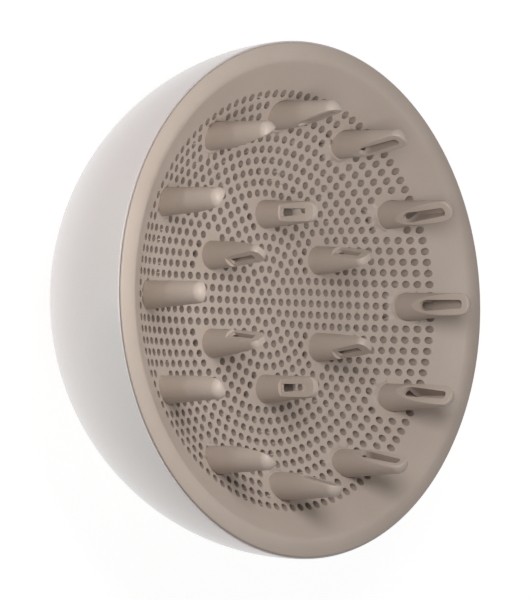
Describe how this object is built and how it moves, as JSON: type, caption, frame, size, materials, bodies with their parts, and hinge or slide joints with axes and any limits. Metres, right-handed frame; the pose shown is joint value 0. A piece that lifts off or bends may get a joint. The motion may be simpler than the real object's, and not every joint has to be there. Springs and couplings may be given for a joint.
{
  "type": "hair dryer diffuser",
  "caption": "Round bowl-shaped diffuser for a hair dryer, with a dished perforated face, slotted air fingers and a magnetic rear collar.",
  "frame": {"origin": "centre of the rear mouth, in the plane of the collar's rear face", "axes": "+Z along the bowl's axis towards the fingers; an outer finger lies on +X"},
  "size_m": [0.15, 0.15, 0.0895],
  "materials": {
    "shell_lacquer": "satin pearl lacquer on moulded plastic",
    "face_plastic": "fine grained taupe moulding",
    "collar_plastic": "satin moulded",
    "liner_plastic": "heat resistant, dull",
    "silicone": "soft matt",
    "keeper_steel": "stamped",
    "screw_steel": "zinc plated",
    "magnet_nickel": "nickel plated"
  },
  "bodies": {
    "root": {"outer_bowl": "shell_lacquer", "front_grille": "face_plastic", "rear_collar": "collar_plastic", "magnet_carrier": "collar_plastic", "inner_liner": "liner_plastic", "air_baffle": "liner_plastic", "nozzle_seal": "silicone", "keeper_ring": "keeper_steel", "collar_screws": "screw_steel", "baffle_screws": "screw_steel", "finger_outer_01": "face_plastic", "finger_outer_02": "face_plastic", "finger_outer_03": "face_plastic", "finger_outer_04": "face_plastic", "finger_outer_05": "face_plastic", "finger_outer_06": "face_plastic", "finger_outer_07": "face_plastic", "finger_outer_08": "face_plastic", "finger_outer_09": "face_plastic", "finger_outer_10": "face_plastic", "finger_outer_11": "face_plastic", "finger_outer_12": "face_plastic", "finger_inner_01": "face_plastic", "finger_inner_02": "face_plastic", "finger_inner_03": "face_plastic", "finger_inner_04": "face_plastic", "finger_inner_05": "face_plastic", "finger_inner_06": "face_plastic", "magnet_01": "magnet_nickel", "magnet_02": "magnet_nickel", "magnet_03": "magnet_nickel", "magnet_04": "magnet_nickel", "magnet_05": "magnet_nickel", "magnet_06": "magnet_nickel"}
  },
  "joints": []
}
